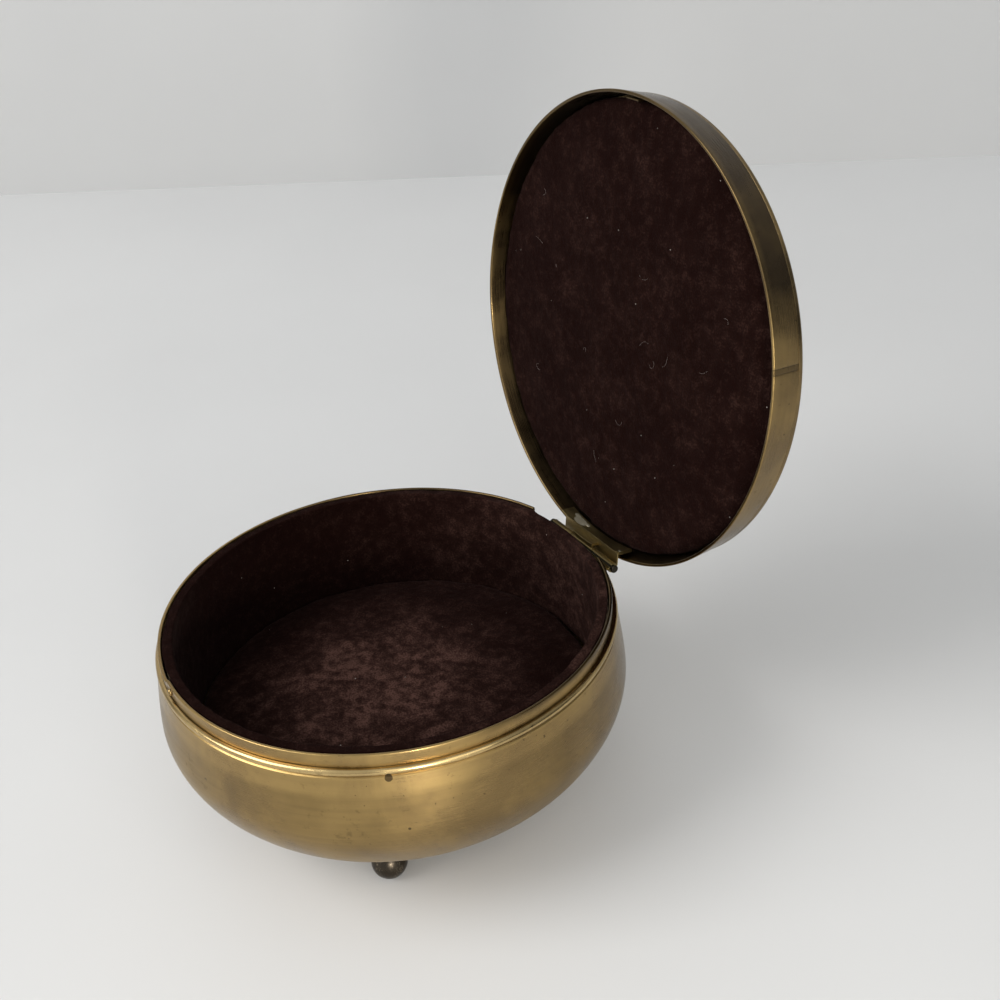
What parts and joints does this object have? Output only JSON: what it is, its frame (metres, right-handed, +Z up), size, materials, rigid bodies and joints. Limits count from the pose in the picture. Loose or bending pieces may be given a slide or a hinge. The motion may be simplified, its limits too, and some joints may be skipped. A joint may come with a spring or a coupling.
{
  "type": "embroidered trinket box",
  "caption": "Round squat brass trinket box on ball feet, with a velvet lining and a hinged lid that holds a domed needlework panel.",
  "frame": {"origin": "on the surface the feet stand on, under the middle of the box as it stands open, 12.6 mm behind the bowl's axis", "axes": "+Z up, +Y towards the hinge at the back, -Y towards the catch at the front, +X to the right along the hinge pin"},
  "size_m": [0.1058, 0.1304, 0.1487],
  "materials": {
    "aged_brass": "satin, aged, with faint brushing and brown patina",
    "bright_brass": "polished by wear",
    "dark_bronze": "dark bronzed, glossy",
    "steel": "plain, dull",
    "velvet": "dark brown velvet with crushed pile",
    "card": "plain card",
    "wadding": "cotton wadding",
    "needlework": "fine canvas stitched all over with coloured thread"
  },
  "bodies": {
    "box": {"bowl_shell": "aged_brass", "neck_collar": "aged_brass", "hinge_body_leaf": "aged_brass", "catch_pip": "aged_brass", "bead_ring": "bright_brass", "ball_foot_right": "dark_bronze", "ball_foot_back": "dark_bronze", "ball_foot_left": "dark_bronze", "foot_nut_right": "steel", "foot_nut_back": "steel", "foot_nut_left": "steel", "hinge_pin": "steel", "wall_velvet": "velvet", "floor_velvet": "velvet", "wall_card": "card", "floor_card": "card", "floor_wadding": "wadding"},
    "lid": {"lid_band": "aged_brass", "lid_bezel": "bright_brass", "embroidered_panel": "needlework", "lid_padding": "wadding", "lid_plate": "steel", "lid_card": "card", "lid_velvet": "velvet", "lid_lip": "bright_brass", "hinge_lid_leaf": "aged_brass"}
  },
  "joints": [
    {"name": "lid_hinge", "type": "hinge", "parent": "box", "child": "lid", "pos_m": [0, 0.03989, 0.0446], "axis": [1, 0, 0], "range_deg": [0, 97.5]}
  ]
}
